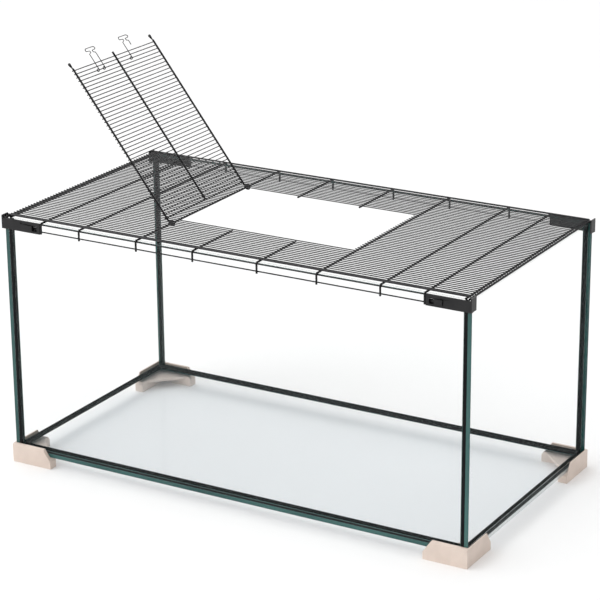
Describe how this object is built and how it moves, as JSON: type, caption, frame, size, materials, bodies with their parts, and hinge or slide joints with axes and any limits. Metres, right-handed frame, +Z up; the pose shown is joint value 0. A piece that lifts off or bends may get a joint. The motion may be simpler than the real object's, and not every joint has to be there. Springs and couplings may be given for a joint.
{
  "type": "hamster cage",
  "caption": "Glass tank small-animal cage with a lift-off wire lid, a hinged wire top door standing open, moulded corner feet and sliding corner lid locks.",
  "frame": {"origin": "centre of the tank footprint, on the surface the feet stand on", "axes": "+Z up, +X along the length away from the door hinge side, -Y towards the front pane"},
  "size_m": [0.6034, 0.319, 0.4837],
  "materials": {
    "pane_glass": "clear float glass with a sea-green edge",
    "silicone": "black glazing silicone",
    "foot_plastic": "pale pink-beige moulded plastic",
    "black_plastic": "black moulded plastic",
    "black_wire": "black coated steel wire"
  },
  "bodies": {
    "tank": {"floor_pane": "pane_glass", "front_pane": "pane_glass", "back_pane": "pane_glass", "left_pane": "pane_glass", "right_pane": "pane_glass", "seam_front_floor": "silicone", "seam_back_floor": "silicone", "seam_left_floor": "silicone", "seam_right_floor": "silicone", "seam_front_left_corner": "silicone", "seam_front_right_corner": "silicone", "seam_back_left_corner": "silicone", "seam_back_right_corner": "silicone", "foot_front_left": "foot_plastic", "foot_front_right": "foot_plastic", "foot_back_left": "foot_plastic", "foot_back_right": "foot_plastic", "bracket_front_left": "black_plastic", "bracket_front_right": "black_plastic", "bracket_back_left": "black_plastic", "bracket_back_right": "black_plastic"},
    "lid": {"lid_grille": "black_wire", "lid_bar_left_outer": "black_wire", "lid_bar_left_mid": "black_wire", "lid_bar_hinge": "black_wire", "lid_bar_latch": "black_wire", "lid_bar_right_mid": "black_wire", "lid_bar_right_outer": "black_wire", "lid_stub_front_left": "black_wire", "lid_stub_front_right": "black_wire", "lid_stub_back_left": "black_wire", "lid_stub_back_right": "black_wire", "lid_end_bar_left": "black_wire", "lid_end_bar_right": "black_wire", "lid_inner_bar_left": "black_wire", "lid_inner_bar_right": "black_wire", "lid_skirt_front_upper": "black_wire", "lid_skirt_front_lower": "black_wire", "lid_skirt_back_upper": "black_wire", "lid_skirt_back_lower": "black_wire"},
    "door": {"door_rail_front": "black_wire", "door_rail_centre": "black_wire", "door_rail_back": "black_wire", "door_rungs": "black_wire"},
    "latch_front": {"door_latch_front": "black_wire"},
    "latch_back": {"door_latch_back": "black_wire"},
    "lock_front_left": {"lid_lock_front_left": "black_plastic"},
    "lock_front_right": {"lid_lock_front_right": "black_plastic"},
    "lock_back_left": {"lid_lock_back_left": "black_plastic"},
    "lock_back_right": {"lid_lock_back_right": "black_plastic"}
  },
  "joints": [
    {"name": "lid_lift", "type": "slide", "parent": "tank", "child": "lid", "axis": [0, 0, 1], "range_m": [0, 0.06]},
    {"name": "door_hinge", "type": "hinge", "parent": "lid", "child": "door", "pos_m": [-0.11625, 0, 0.30475], "axis": [0, -1, 0], "range_deg": [-127.6, 0]},
    {"name": "door_latch_front_pivot", "type": "hinge", "parent": "door", "child": "latch_front", "pos_m": [-0.24164, -0.034, 0.45963], "axis": [0, 1, 0], "range_deg": [0, 75]},
    {"name": "door_latch_back_pivot", "type": "hinge", "parent": "door", "child": "latch_back", "pos_m": [-0.24164, 0.034, 0.45963], "axis": [0, 1, 0], "range_deg": [0, 75]},
    {"name": "lid_lock_front_left_slide", "type": "slide", "parent": "tank", "child": "lock_front_left", "axis": [1, 0, 0], "range_m": [0, 0.006]},
    {"name": "lid_lock_front_right_slide", "type": "slide", "parent": "tank", "child": "lock_front_right", "axis": [-1, 0, 0], "range_m": [0, 0.006]},
    {"name": "lid_lock_back_left_slide", "type": "slide", "parent": "tank", "child": "lock_back_left", "axis": [1, 0, 0], "range_m": [0, 0.006]},
    {"name": "lid_lock_back_right_slide", "type": "slide", "parent": "tank", "child": "lock_back_right", "axis": [-1, 0, 0], "range_m": [0, 0.006]}
  ]
}
